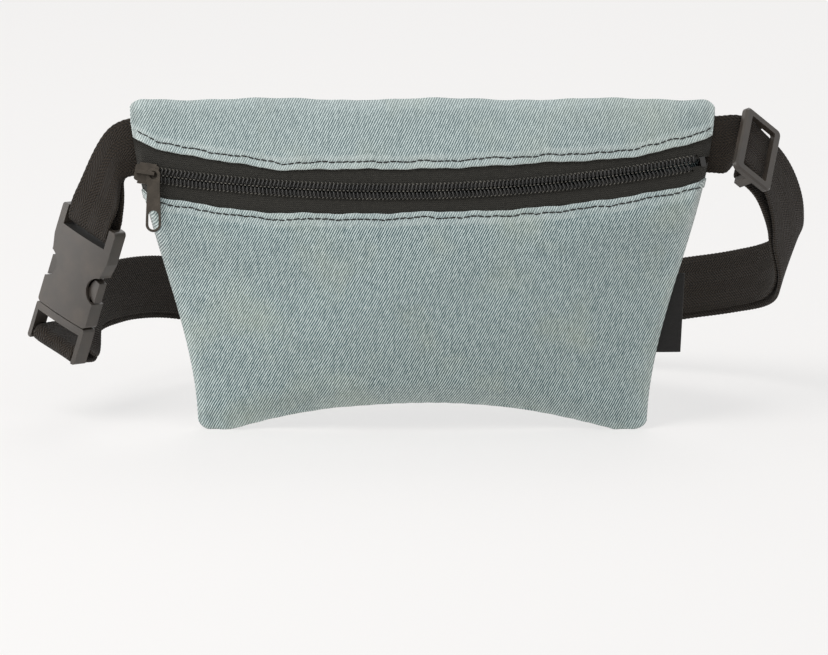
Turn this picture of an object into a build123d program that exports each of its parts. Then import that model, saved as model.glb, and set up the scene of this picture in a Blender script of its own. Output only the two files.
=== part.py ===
from build123d import *
from math import asin, atan2, cos, degrees, hypot, pi, radians, sin, sqrt
import os

os.makedirs("parts", exist_ok=True)

# ---------------------------------------------------------------- pouch sizes
pouch_height = 148.0
top_half_width = 128.0
bottom_half_width = 98.5
front_fullness = 24.0  # how far the stuffed front stands off the side seams
back_fullness = 9.0
fabric = 1.8  # turned denim and its seam allowance
seam_half = 1.6  # half the thickness of a sewn seam
bottom_arch = 12.0  # rise of the bottom seam between the two corners
arch_half_span = 84.0
corner_radius = 6.0
pocket_floor = 22.0
pocket_top = 142.0
side_seam = 6.0  # seam allowance inside each side
side_trim = 0.6  # zipper and hems end this far inside the side seams

# The object's origin is on the floor below the middle of its outline.
pouch_x = 3.0
pouch_y = -56.1

# ---------------------------------------------------------------- zipper sizes
chain_end_inset = 3.0  # chain's ends inside the pouch's top corners
chain_half_span = top_half_width - chain_end_inset
chain_height = 109.4  # height of the chain's lowest, foremost point
chain_sag = 8.6
chain_front = 16.8  # chain's middle in front of the side seams
chain_bulge = 13.0  # chain's middle in front of its two ends
chain_tilt = 1.2  # degrees, right end higher
tape_lean = 16.6  # degrees that the tapes lean back from upright
tape_thickness = 0.8
tape_half_width = 15.0
tape_split = 1.6  # each tape's edge from the chain's centre line
band_half_width = 9.85  # tape left bare between the hem and the centre line
coil_width = 2.6  # of the core that joins a coil's teeth
coil_height = 2.0
coil_gap = 0.9  # each coil's core from the centre line
coil_pitch = 3.5  # from one tooth to the next of the same coil
tooth_width = 1.4
tooth_reach = 0.7  # how far each tooth crosses the centre line
tooth_proud = 0.3  # each tooth above its coil's core
tooth_inset = 0.4  # each tooth inside its core's outer and lower faces
sewing_clearance = 0.3

# ---------------------------------------------------------------- slider sizes
slider_length = 10.5
slider_width = 9.6
slider_plate = 1.2
slider_clearance = 0.35
slider_post = 2.2
bridge_rod = 1.6
bridge_span = 8.6
bridge_rise = 4.4
pull_length = 28.0
pull_width = 6.8
pull_thickness = 1.1
pull_eye = 3.4
pull_slot_width = 4.6
pull_slot_length = 8.3
slider_inset = 5.6  # slider's middle from the chain's left end
eye_drop = 0.4  # pull's eye centre below the bridge's leg

# ---------------------------------------------------------------- webbing and buckle sizes
web_width = 25.4
web_thickness = 1.6
layer_gap = 0.5
buckle_width = 34.0
buckle_thickness = 10.0
shell = 1.6
bar_diameter = 3.6
buckle_fit = 0.35


def place(x, y, z):
    """Point given from the floor below the pouch's middle."""
    return Vector(pouch_x + x, pouch_y + y, z)


# ================================================================ pouch
floor_plane = Plane(origin=place(0, 0, 0))


def half_width(z):
    """Side seam: an even S between the bottom and the top width."""
    u = z / pouch_height
    return bottom_half_width + (top_half_width - bottom_half_width) * u * u * (3 - 2 * u)


def fullness(z, most):
    """Swell of a stuffed panel: a flattened sine from bottom to top."""
    return seam_half + 0.6 + (most - seam_half) * max(sin(pi * z / pouch_height), 0.0) ** 0.9


def lens_face(z, inset_side, inset_face):
    """Level cut through the pouch, drawn in by the given insets."""
    side = half_width(z) - inset_side
    edge = seam_half if inset_side == 0 else 0.5
    front = (side * 0, -fullness(z, front_fullness) + inset_face)
    back = (side * 0, fullness(z, back_fullness) - inset_face)
    with BuildSketch(floor_plane.offset(z)) as level:
        with BuildLine():
            ThreePointArc((-side, -edge), front, (side, -edge))
            Line((side, -edge), (side, edge))
            ThreePointArc((side, edge), back, (-side, edge))
            Line((-side, edge), (-side, -edge))
        make_face()
    return level.sketch.face()


def levels(low, high, count):
    return [low + (high - low) * i / (count - 1) for i in range(count)]


with BuildSketch(Plane.XZ.offset(-pouch_y)) as outline:
    with BuildLine():
        FilletPolyline(
            (pouch_x - bottom_half_width, 0),
            (pouch_x + bottom_half_width, 0),
            (pouch_x + top_half_width, 0.8 * pouch_height),
            (pouch_x + top_half_width, pouch_height),
            (pouch_x - top_half_width, pouch_height),
            (pouch_x - top_half_width, 0.8 * pouch_height),
            radius=corner_radius,
            close=True,
        )
    make_face()
    with BuildLine():
        ThreePointArc(
            (pouch_x - arch_half_span, -0.01), (pouch_x, bottom_arch), (pouch_x + arch_half_span, -0.01)
        )
        Line((pouch_x + arch_half_span, -0.01), (pouch_x - arch_half_span, -0.01))
    make_face(mode=Mode.SUBTRACT)

with BuildPart() as pouch_body:
    loft([lens_face(z, 0, 0) for z in levels(0, pouch_height, 8)])
    extrude(outline.sketch, amount=2 * front_fullness, both=True, mode=Mode.INTERSECT)

with BuildPart() as pocket:
    loft([lens_face(z, side_seam, fabric) for z in levels(pocket_floor, pocket_top, 6)])

# ================================================================ zipper frame
sagitta = hypot(chain_sag, chain_bulge)
dip = atan2(chain_sag, chain_bulge)
chain_radius = (chain_half_span**2 + sagitta**2) / (2 * sagitta)
tilt = radians(chain_tilt)
slant = dip + radians(tape_lean)
along = Vector(cos(tilt), 0, sin(tilt))
spin = Vector(-sin(tilt) * cos(dip), -sin(dip), cos(tilt) * cos(dip))
outward = along.cross(spin)
chain_middle = place(0, -chain_front, chain_height)
chain_centre = chain_middle - outward * chain_radius
chain_axis = Axis(chain_centre, spin)
end_angle = degrees(asin(chain_half_span / chain_radius))


def chain_plane(angle):
    """Plane on the tape at an angle along the chain: x along it, z out of the tape."""
    radial = outward * cos(radians(angle)) + along * sin(radians(angle))
    tangent = along * cos(radians(angle)) - outward * sin(radians(angle))
    normal = radial * cos(slant) + spin * sin(slant)
    return Plane(origin=chain_centre + radial * chain_radius, x_dir=tangent, z_dir=normal)


def chain_section(angle):
    """Cross-section plane of the chain: x up across the tapes, y out of them."""
    at = chain_plane(angle)
    return Plane(origin=at.origin, x_dir=at.y_dir, z_dir=at.x_dir)


def chain_ring(start, sweep, boxes):
    """Ring pieces: each box (x, y, width, height) of the cross-section turned along the chain."""
    with BuildPart() as ring:
        with BuildSketch(chain_section(start)):
            for x, y, width, height in boxes:
                with Locations((x, y)):
                    Rectangle(width, height)
        revolve(axis=chain_axis, revolution_arc=sweep)
    return ring.part


def strip(side, inner, outer, low, high):
    """Cross-section box on one side (+1 upper, -1 lower) of the centre line."""
    return (side * (inner + outer) / 2, (low + high) / 2, outer - inner, high - low)


tape_face = tape_thickness / 2

# ================================================================ panels
with BuildSketch(Plane.XZ.offset(seam_half - pouch_y)) as silhouette:
    with BuildLine():
        right_side = [(pouch_x + half_width(z) - side_trim, z) for z in levels(0, pouch_height, 8)]
        left_side = [(pouch_x - half_width(z) + side_trim, z) for z in levels(0, pouch_height, 8)]
        Spline(*right_side)
        Line(right_side[-1], left_side[-1])
        Spline(*left_side)
        Line(left_side[0], right_side[0])
    make_face()
with BuildPart() as side_trimmer:
    extrude(silhouette.sketch, amount=2 * front_fullness)


def trimmed(ring):
    """Ring piece cut off at the side seams."""
    return ring & side_trimmer.part


hem_width = 7.0
hem_lap = 1.8  # how far a hem runs on under its panel
hem_foot = tape_face + sewing_clearance
shell_cut = band_half_width + hem_width - hem_lap
band_cutter = chain_ring(-2 * end_angle, 4 * end_angle, [(0, 0, 2 * shell_cut, 2 * front_fullness)])

slider_room = slider_width / 2 + 1.0
slider_depth = tape_face + slider_clearance + slider_plate + 1.0
slider_cutter = chain_ring(
    -2 * end_angle, 4 * end_angle, [(0, 0, 2 * slider_room, 2 * slider_depth)]
)

with BuildPart() as back_panel:
    add(pouch_body.part)
    add(pocket.part, mode=Mode.SUBTRACT)
    split(bisect_by=Plane.XZ.offset(-pouch_y), keep=Keep.BOTTOM)
    add(slider_cutter, mode=Mode.SUBTRACT)

with BuildPart() as front_shell:
    add(pouch_body.part)
    add(pocket.part, mode=Mode.SUBTRACT)
    split(bisect_by=Plane.XZ.offset(-pouch_y), keep=Keep.TOP)
    add(band_cutter, mode=Mode.SUBTRACT)


def finish(piece, label):
    """Label a finished piece and write it as its own file."""
    piece.part.label = label
    export_step(piece.part, f"parts/{label}.step")


front_pieces = front_shell.solids().sort_by(Axis.Z)
for name, side, shell_piece in (("front_panel", -1, front_pieces[0]), ("top_panel", 1, front_pieces[-1])):
    hem_box = strip(side, band_half_width, band_half_width + hem_width, hem_foot, hem_foot + fabric)
    hem = trimmed(chain_ring(-end_angle - 1, 2 * end_angle + 2, [hem_box]))
    with BuildPart() as panel:
        add(shell_piece)
        add(hem)
    finish(panel, name)
finish(back_panel, "back_panel")

# ================================================================ zipper tapes and coils
coil_foot = tape_face
coil_top = tape_face + coil_height
tape_angle = end_angle - 0.3
coil_start = -end_angle + degrees((slider_inset - 0.5) / chain_radius)
coil_end = end_angle - 0.6
pitch_angle = degrees(coil_pitch / chain_radius)
tooth_count = int((coil_end - coil_start) / pitch_angle) - 1



def coil_tooth(side):
    """One tooth, from inside its coil's core to past the centre line, where its head tapers."""
    root = side * (coil_width + coil_gap - tooth_inset)
    shoulder = side * (tooth_width / 2 - tooth_reach)
    tip = -side * tooth_reach
    half = tooth_width / 2
    with BuildPart() as tooth:
        with BuildSketch(Plane.XY.offset(coil_foot + tooth_inset)):
            with BuildLine():
                Polyline(
                    (-half, root), (-half, shoulder), (-half / 2, tip),
                    (half / 2, tip), (half, shoulder), (half, root),
                    close=True,
                )
            make_face()
        extrude(amount=coil_height + tooth_proud - tooth_inset)
    return tooth.part


for name, side in (("upper", 1), ("lower", -1)):
    tape_box = strip(side, tape_split, tape_half_width, -tape_face, tape_face)
    tape_ring = trimmed(chain_ring(-tape_angle, 2 * tape_angle, [tape_box]))
    with BuildPart() as tape:
        add(tape_ring)
    finish(tape, f"{name}_zipper_tape")
    coil_box = strip(side, coil_gap, coil_width + coil_gap, coil_foot, coil_top)
    coil_ring = chain_ring(coil_start, coil_end - coil_start, [coil_box])
    tooth = coil_tooth(side)
    first = coil_start + (1 + side / 4) * pitch_angle
    teeth = [
        chain_plane(first + i * pitch_angle).location * tooth for i in range(tooth_count)
    ]
    with BuildPart() as coil:
        add(coil_ring)
        add(teeth)
    finish(coil, f"{name}_coil")

stop_width = 2 * (coil_width + coil_gap)
stop_box = (0, (coil_top + coil_foot) / 2, stop_width, coil_height)
stop_ring = chain_ring(coil_end + 0.05, 0.45, [stop_box])
with BuildPart() as end_stop:
    add(stop_ring)
finish(end_stop, "zipper_end_stop")

# ================================================================ slider
slider_at = chain_plane(-end_angle + degrees(slider_inset / chain_radius))
channel_low = -tape_face - slider_clearance
channel_high = coil_top + tooth_proud + slider_clearance
plate_top = channel_high + slider_plate
coil_side = coil_width + coil_gap + slider_clearance

with BuildPart() as zipper_slider:
    for low in (channel_low - slider_plate, channel_high):
        with BuildSketch(slider_at.offset(low)):
            with BuildLine():
                FilletPolyline(
                    (slider_length / 2, -slider_width / 2 + 1.2),
                    (slider_length / 2, slider_width / 2 - 1.2),
                    (0, slider_width / 2),
                    (-slider_length / 2, slider_width / 2 - 1.6),
                    (-slider_length / 2, -slider_width / 2 + 1.6),
                    (0, -slider_width / 2),
                    radius=1.0,
                    close=True,
                )
            make_face()
        extrude(amount=slider_plate)
    with BuildSketch(slider_at.offset(channel_low)):
        with Locations((-slider_length / 2 + slider_post / 2 + 0.4, 0)):
            Rectangle(slider_post, 2 * (tape_split - slider_clearance))
    extrude(amount=channel_high - channel_low)
    with BuildSketch(slider_at.offset(tape_face + slider_clearance)):
        with Locations((0, coil_side + 0.4), (0, -coil_side - 0.4)):
            Rectangle(slider_length - 3, 0.8)
    extrude(amount=channel_high - tape_face - slider_clearance)
    with BuildSketch(Plane(origin=slider_at.origin, x_dir=slider_at.x_dir, z_dir=-slider_at.y_dir)):
        with Locations((0, plate_top - 0.4)):
            Rectangle(bridge_span, 2 * (bridge_rise + 0.4))
            Rectangle(bridge_span - 2 * bridge_rod, 2 * (bridge_rise + 0.4 - bridge_rod), mode=Mode.SUBTRACT)
        with Locations((0, plate_top - 10.4)):
            Rectangle(20, 20, mode=Mode.SUBTRACT)
    extrude(amount=bridge_rod / 2, both=True)
finish(zipper_slider, "zipper_slider")

# ================================================================ pull
leg = Vector(bridge_span / 2 - bridge_rod / 2, 0, plate_top + (bridge_rise - bridge_rod) / 2)
pull_lean = radians(17.5)  # the pull lies forward over the stuffed front
pull_down = Vector(0, -sin(pull_lean), -cos(pull_lean))
plate_normal = slider_at.z_dir
pull_normal = (plate_normal - pull_down * plate_normal.dot(pull_down)).normalized()
eye_centre = slider_at.from_local_coords(leg) + pull_down * eye_drop
pull_at = Plane(origin=eye_centre, x_dir=pull_down, z_dir=pull_normal)
eye_band = 1.3
pull_end = pull_length - pull_eye / 2 - eye_band

with BuildPart() as pull:
    with BuildSketch(pull_at.offset(-pull_thickness / 2)):
        with BuildLine():
            Line((0, pull_eye / 2 + eye_band), (5, pull_width / 2 - 0.6))
            Line((5, pull_width / 2 - 0.6), (pull_end - pull_width / 2, pull_width / 2))
            ThreePointArc(
                (pull_end - pull_width / 2, pull_width / 2),
                (pull_end, 0),
                (pull_end - pull_width / 2, -pull_width / 2),
            )
            Line((pull_end - pull_width / 2, -pull_width / 2), (5, -pull_width / 2 + 0.6))
            Line((5, -pull_width / 2 + 0.6), (0, -pull_eye / 2 - eye_band))
            ThreePointArc(
                (0, -pull_eye / 2 - eye_band), (-pull_eye / 2 - eye_band, 0), (0, pull_eye / 2 + eye_band)
            )
        make_face()
        Circle(pull_eye / 2, mode=Mode.SUBTRACT)
        slot_middle = pull_end - (pull_width - pull_slot_width) / 2 - pull_slot_length / 2
        with Locations((slot_middle, 0)):
            SlotOverall(pull_slot_length, pull_slot_width, mode=Mode.SUBTRACT)
    extrude(amount=pull_thickness)
finish(pull, "slider_pull")

# ================================================================ side-release buckle
# Buckle frame: x down the buckle from the housing's bar, y across it, z out of its face.
buckle_top = place(-143.7, 6, 91.4)
buckle_down = Vector(-0.273, 0.160, -0.949).normalized()
across_guess = Vector(0.691, -0.6735, -0.2627)
buckle_face = buckle_down.cross(across_guess).normalized()
buckle_at = Plane(origin=buckle_top, x_dir=buckle_down, z_dir=buckle_face)
buckle_across = buckle_at.y_dir

bar_radius = bar_diameter / 2
half_wide = buckle_width / 2
half_waist = 15.4  # half the width below the shoulders
shoulder = 13.0  # where the housing starts to narrow
mouth = 45.0  # housing's lower end
socket_top = 9.0
slot_half = web_width / 2 + 0.5
window_at = 26.5
window_length = 13.0
window_depth = 5.4
half_thick = buckle_thickness / 2 - 0.4
guide_half = 2.2
insert_end = 62.5
insert_bar = 59.3
prong_width = 2.6
prong_fit = 0.06  # running clearance of a prong's round root in front of the insert's body
prong_root = mouth + buckle_fit - prong_fit - prong_width / 2
prong_thick = 4.6
latch_clearance = 0.4

slot_end = 6.8
half_edge = 3.3  # half the buckle's thickness along its sides
insert_slot = 48.8


def webbing_bar(x):
    """Round bar across the buckle, x down its length, reaching into both walls."""
    with BuildPart() as bar:
        with BuildSketch(Plane(origin=buckle_at.from_local_coords(Vector(x, 0, 0)),
                               x_dir=buckle_down, z_dir=buckle_across)):
            Circle(bar_radius)
        extrude(amount=slot_half + 0.8, both=True)
    return bar.part


# The moulded faces are crowned: thick along the middle, thinner at both sides.
crown_start = 5.0  # how far the crowned section starts above the housing's bar
crown_wide = half_wide + 1.0
crown_top = half_thick - 0.05
crown_at = Plane(
    origin=buckle_at.from_local_coords(Vector(-crown_start, 0, 0)), x_dir=buckle_across, z_dir=buckle_down
)
with BuildSketch(Plane.XY) as crown:
    with BuildLine():
        ThreePointArc((-crown_wide, -half_edge), (0, -crown_top), (crown_wide, -half_edge))
        Line((crown_wide, -half_edge), (crown_wide, half_edge))
        ThreePointArc((crown_wide, half_edge), (0, crown_top), (-crown_wide, half_edge))
        Line((-crown_wide, half_edge), (-crown_wide, -half_edge))
    make_face()

housing_round = webbing_bar(0)
with BuildPart() as buckle_housing:
    with BuildSketch(buckle_at.offset(-half_thick)):
        with BuildLine():
            FilletPolyline(
                (-bar_radius - 0.6, -half_wide),
                (shoulder, -half_wide),
                (shoulder + 6, -half_waist),
                (mouth, -half_waist),
                (mouth, half_waist),
                (shoulder + 6, half_waist),
                (shoulder, half_wide),
                (-bar_radius - 0.6, half_wide),
                radius=1.8,
                close=True,
            )
        make_face()
        with Locations(((slot_end - 2 * bar_radius) / 2, 0)):
            Rectangle(slot_end + 2 * bar_radius, 2 * slot_half, mode=Mode.SUBTRACT)
    extrude(amount=2 * half_thick)
    with BuildSketch(crown_at):
        add(crown.sketch)
    extrude(amount=insert_end + crown_start, mode=Mode.INTERSECT)
    add(housing_round)
    with BuildSketch(buckle_at.offset(-half_thick + shell)):
        with Locations(((socket_top + mouth) / 2 + 1, 0)):
            Rectangle(mouth - socket_top + 2, 2 * (half_waist - shell))
    extrude(amount=2 * (half_thick - shell), mode=Mode.SUBTRACT)
    with BuildSketch(buckle_at.offset(-half_thick)):
        with Locations((window_at, half_wide), (window_at, -half_wide)):
            Ellipse(window_length / 2, half_wide - half_waist + window_depth)
    extrude(amount=2 * half_thick, mode=Mode.SUBTRACT)
finish(buckle_housing, "buckle_housing")

insert_round = webbing_bar(insert_bar)
with BuildPart() as buckle_insert:
    with BuildSketch(buckle_at.offset(-half_thick)):
        with BuildLine():
            FilletPolyline(
                (mouth + buckle_fit, -half_waist),
                (insert_end, -half_waist),
                (insert_end, half_waist),
                (mouth + buckle_fit, half_waist),
                radius=1.2,
                close=True,
            )
        make_face()
        with Locations(((insert_slot + insert_end + 1) / 2, 0)):
            Rectangle(insert_end + 1 - insert_slot, 2 * slot_half, mode=Mode.SUBTRACT)
    extrude(amount=2 * half_thick)
    with BuildSketch(crown_at):
        add(crown.sketch)
    extrude(amount=insert_end + crown_start, mode=Mode.INTERSECT)
    add(insert_round)
    with BuildSketch(buckle_at.offset(-1.6)):
        with Locations(((socket_top + 8 + mouth + 1) / 2, 0)):
            Rectangle(mouth + 1 - socket_top - 8, 2 * guide_half)
    extrude(amount=3.2)
finish(buckle_insert, "buckle_insert")

prong_arm = 10.6  # each prong's bending point from the middle line
for name, side in (("left", -1), ("right", 1)):
    with BuildPart() as prong:
        with BuildSketch(buckle_at.offset(-prong_thick / 2)):
            with BuildLine():
                Polyline(
                    (window_at - window_length / 2 + 1.2, side * (prong_arm - 1.8)),
                    (window_at + window_length / 2 - latch_clearance, side * (prong_arm - 1.8)),
                    (window_at + window_length / 2 - latch_clearance, side * half_waist),
                    (window_at - window_length / 2 + 3, side * half_waist),
                    close=True,
                )
            make_face()
            with Locations((window_at, side * half_wide)):
                Ellipse(
                    window_length / 2 - latch_clearance,
                    half_wide - half_waist + window_depth - latch_clearance,
                    mode=Mode.INTERSECT,
                )
            with Locations(((prong_root + window_at) / 2, side * prong_arm)):
                Rectangle(prong_root - window_at, prong_width)
            with Locations((prong_root, side * prong_arm)):
                Circle(prong_width / 2)
        extrude(amount=prong_thick)
    finish(prong, f"{name}_prong")

# ================================================================ webbing
fold_room = 0.4  # between a bar and the inside of the webbing's fold
fold_middle = bar_radius + fold_room + web_thickness / 2
layer_middle = (web_thickness + layer_gap) / 2


def run_at(line, i, start):
    """Direction of the webbing at one station, from the stations on both sides of it."""
    if i == 0 and start is not None:
        return start
    return line[min(i + 1, len(line) - 1)][0] - line[max(i - 1, 0)][0]


def ribbon(route, side, start=None):
    """One layer of webbing: a ruled loft along (point, width direction, spread) stations."""
    cuts = []
    for i, (centre, width, spread) in enumerate(route):
        off = run_at(route, i, start).cross(width).normalized()
        middle = centre + off * (side * spread)
        with BuildSketch(Plane(origin=middle, x_dir=width, z_dir=width.cross(off))) as cut:
            Rectangle(web_width, web_thickness)
        cuts.append(cut.sketch.face())
    return loft(cuts, ruled=True)


def fold(bar_at, away, across, middle):
    """Half turn of webbing round a bar, on the side that points away."""
    inner = middle - web_thickness / 2
    with BuildPart() as turn:
        with BuildSketch(Plane(origin=bar_at - across * (web_width / 2), x_dir=away, z_dir=across)):
            Circle(inner + web_thickness)
            Circle(inner, mode=Mode.SUBTRACT)
            with Locations((-10, 0)):
                Rectangle(20, 20, mode=Mode.SUBTRACT)
        extrude(amount=web_width)
    return turn.part


down = Vector(0, 0, -1)
ear_height = 126.5
ear_out = 0.6  # webbing's sewn ends outside the pouch's top corners
left_ear = place(-top_half_width - ear_out, 2.2, ear_height - 1)
housing_bar = buckle_at.from_local_coords(Vector(0, 0, 0))
left_route = [
    (left_ear, down, layer_middle),
    (place(-132.5, 2.8, 123.5), Vector(0.12, -0.15, -0.98), layer_middle),
    (place(-136.5, 4.0, 115.0), Vector(0.40, -0.42, -0.82), 1.3),
    (place(-140.0, 5.2, 103.0), Vector(0.62, -0.60, -0.48), 2.0),
    (housing_bar - buckle_down * 5, buckle_across, fold_middle),
    (housing_bar, buckle_across, fold_middle),
]
left_layers = [ribbon(left_route, side, -Axis.X.direction) for side in (-1, 1)]
left_fold = fold(housing_bar, buckle_down, buckle_across, fold_middle)
left_strap = left_layers[0] + left_fold + left_layers[1]
with BuildPart() as left_webbing:
    add(left_strap)
finish(left_webbing, "left_webbing")

# ---------------------------------------------------------------- tri-glide
glide_run = Vector(0.66, 0.42, -0.62).normalized()
glide_width_guess = Vector(-0.17, -0.72, -0.67)
glide_face = glide_width_guess.cross(glide_run).normalized()
glide_at = Plane(origin=place(144.2, 6.0, 122.8), x_dir=glide_run, z_dir=glide_face)
glide_across = -glide_at.y_dir  # from the webbing's upper edge to its lower one
glide_length = 23.0
glide_width = 33.0
glide_bar = 4.0
glide_thick = 2.8
glide_clear = 0.35
glide_lug = 3.2  # each end of the frame that drops to the middle bar
glide_front = web_thickness / 2 + glide_clear  # frame's rear face before the strap's middle
glide_rod = 2.4  # diameter of the middle bar
tail_middle = glide_rod / 2 + fold_room + web_thickness / 2
rod_back = web_thickness + layer_gap + tail_middle  # middle bar's centre behind the strap's middle

rod_middle = glide_at.from_local_coords(Vector(0, 0, -rod_back))
rod_at = Plane(origin=rod_middle, x_dir=glide_run, z_dir=glide_at.y_dir)
with BuildPart() as tri_glide:
    with BuildSketch(glide_at.offset(glide_front)):
        RectangleRounded(glide_length, glide_width, 3.0)
        RectangleRounded(glide_length - 2 * glide_bar, web_width + 0.8, 0.8, mode=Mode.SUBTRACT)
    extrude(amount=glide_thick)
    chamfer(tri_glide.faces().sort_by(Axis(glide_at.origin, glide_face))[-1].outer_wire().edges(), 0.8)
    with BuildSketch(glide_at.offset(-rod_back - glide_rod / 2)):
        with GridLocations(0, glide_width - glide_lug, 1, 2):
            Rectangle(glide_rod + 1.6, glide_lug)
    extrude(amount=rod_back + glide_rod / 2 + glide_front)
    with BuildSketch(rod_at):
        Circle(glide_rod / 2)
    extrude(amount=glide_width / 2 - 1, both=True)
finish(tri_glide, "tri_glide")

# ---------------------------------------------------------------- long belt webbing
right_ear = place(top_half_width + 2 * ear_out, 0, ear_height + 0.5)
insert_at = buckle_at.from_local_coords(Vector(insert_bar, 0, 0))
glide_middle = glide_at.origin
ear_route = [
    (right_ear, down, 0),
    (place(133.0, 0.6, 126.6), Vector(-0.03, -0.25, -0.96), 0),
    (glide_middle - glide_run * 10, glide_across, 0),
    (glide_middle + glide_run * 8, glide_across, 0),
]
loop_route = [
    (place(156.5, 21, 103.0), Vector(-0.40, -0.66, -0.60), layer_middle),
    (place(160.0, 36, 82.0), Vector(-0.50, -0.60, -0.55), layer_middle),
    (place(160.5, 51, 65.5), Vector(-0.30, -0.45, -0.80), layer_middle),
    (place(153.5, 67, 54.5), Vector(-0.08, -0.15, -0.98), layer_middle),
    (place(138.0, 84, 47.0), down, layer_middle),
    (place(115.0, 101, 40.0), down, layer_middle),
    (place(82.0, 119, 30.0), down, layer_middle),
    (place(42.0, 131, 18.5), down, layer_middle),
    (place(0.0, 135, web_width / 2), down, layer_middle),
    (place(-42.0, 131, 18.5), down, layer_middle),
    (place(-82.0, 117, 31.0), down, layer_middle),
    (place(-112.0, 95, 42.0), down, layer_middle),
    (place(-132.0, 70, 46.0), Vector(0.05, -0.05, -0.99), layer_middle),
    (place(-146.0, 48, 45.0), Vector(0.30, -0.30, -0.88), layer_middle),
    (insert_at - buckle_face * 12, Vector(0.60, -0.58, -0.52), 1.7),
    (insert_at - buckle_face * 4, buckle_across, fold_middle),
    (insert_at, buckle_across, fold_middle),
]
whole_route = ear_route + loop_route

# The outer layer runs from the ear to the insert's bar; the return layer comes back to the tri-glide.
outer_layer = ribbon(whole_route, -1, Axis.X.direction)
return_layer = ribbon(loop_route, 1)
insert_fold = fold(insert_at, buckle_face, buckle_across, fold_middle)
with BuildPart() as belt_webbing:
    add(outer_layer + insert_fold + return_layer)
finish(belt_webbing, "belt_webbing")

tail_route = [
    (rod_middle + glide_run * 6, glide_across, tail_middle),
    (rod_middle, glide_across, tail_middle),
]
tail_layers = [ribbon(tail_route, side) for side in (-1, 1)]
tail_fold = fold(rod_middle, -glide_run, glide_across, tail_middle)
with BuildPart() as belt_tail:
    add(tail_layers[0] + tail_fold + tail_layers[1])
finish(belt_tail, "belt_tail")

# ================================================================ side label
label_width = 7.5  # from the side seam, at the label's middle
label_tuck = 8.0  # how far the label's blank starts inside the side seam
label_height = 35.0
label_thickness = 0.8
label_middle = 52.0
label_seam = pouch_x + half_width(label_middle)
with BuildPart() as side_label:
    with BuildSketch(Plane.XY.offset(label_middle - label_height / 2)):
        with Locations((label_seam + (label_width - label_tuck) / 2, pouch_y)):
            Rectangle(label_width + label_tuck, 2 * label_thickness)
    extrude(amount=label_height)
    add(pouch_body.part, mode=Mode.SUBTRACT)
finish(side_label, "side_label")
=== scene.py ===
import math
import bmesh
import bpy
import numpy as np
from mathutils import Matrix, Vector


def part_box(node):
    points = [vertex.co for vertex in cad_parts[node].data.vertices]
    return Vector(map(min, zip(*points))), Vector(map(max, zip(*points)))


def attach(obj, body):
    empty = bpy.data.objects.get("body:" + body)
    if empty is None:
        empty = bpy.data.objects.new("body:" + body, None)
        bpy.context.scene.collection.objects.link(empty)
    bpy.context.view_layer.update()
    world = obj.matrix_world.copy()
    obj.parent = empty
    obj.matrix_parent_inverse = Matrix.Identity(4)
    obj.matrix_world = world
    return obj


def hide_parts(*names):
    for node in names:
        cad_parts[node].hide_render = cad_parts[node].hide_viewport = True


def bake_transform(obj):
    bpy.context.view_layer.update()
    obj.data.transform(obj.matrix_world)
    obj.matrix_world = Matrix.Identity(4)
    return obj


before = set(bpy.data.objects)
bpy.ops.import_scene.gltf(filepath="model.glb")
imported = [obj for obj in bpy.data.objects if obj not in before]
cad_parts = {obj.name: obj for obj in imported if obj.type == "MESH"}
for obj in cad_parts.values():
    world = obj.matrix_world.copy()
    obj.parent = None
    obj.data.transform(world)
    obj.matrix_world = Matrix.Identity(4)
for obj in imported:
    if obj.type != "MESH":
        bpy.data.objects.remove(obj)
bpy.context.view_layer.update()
scene = bpy.context.scene
mm = 0.001


# ---- nodes and meshes

# An sRGB hex colour as linear RGBA.
def linear(hexColour):
    parts = [int(hexColour[i:i + 2], 16) / 255 for i in (1, 3, 5)]
    return [p / 12.92 if p <= 0.04045 else ((p + 0.055) / 1.055) ** 2.4 for p in parts] + [1.0]


# One node. An input is a plain value, or a socket to link from.
def addNode(tree, kind, inputs=None, **props):
    node = tree.nodes.new("ShaderNode" + kind)
    for key, value in props.items():
        setattr(node, key, value)
    for key, value in (inputs or {}).items():
        if isinstance(value, bpy.types.NodeSocket):
            tree.links.new(value, node.inputs[key])
        else:
            node.inputs[key].default_value = value
    return node


def maths(tree, operation, *values):
    return addNode(tree, "Math", dict(enumerate(values)), operation=operation).outputs[0]


# Low to high becomes toLow to toHigh.
def remap(tree, value, low, high, toLow=0.0, toHigh=1.0):
    return addNode(tree, "MapRange", {0: value, 1: low, 2: high, 3: toLow, 4: toHigh}).outputs[0]


def mixColours(tree, share, first, second):
    return addNode(tree, "Mix", {0: share, 6: first, 7: second}, data_type="RGBA").outputs[2]


def noise(tree, place, scale, detail):
    return addNode(tree, "TexNoise", {0: place, "Scale": scale, "Detail": detail}).outputs[0]


# Noise in grains of a size in metres.
def grains(tree, place, size, detail):
    scale = (1 / size[0], 1 / size[1], 1)
    return noise(tree, addNode(tree, "Mapping", {0: place, "Scale": scale}).outputs[0], 1, detail)


def newMaterial(name, finish):
    material = bpy.data.materials.new(name)
    material.use_nodes = True
    tree = material.node_tree
    shader = tree.nodes["Principled BSDF"]
    for key, value in finish.items():
        shader.inputs[key].default_value = value
    return material, tree, shader


# The shader takes its colour, and a relief of so many metres.
def colourAndBump(tree, shader, colour, height, strength, distance):
    tree.links.new(colour, shader.inputs["Base Color"])
    bump = addNode(tree, "Bump", {"Height": height, "Strength": strength, "Distance": distance})
    tree.links.new(bump.outputs[0], shader.inputs["Normal"])


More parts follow.
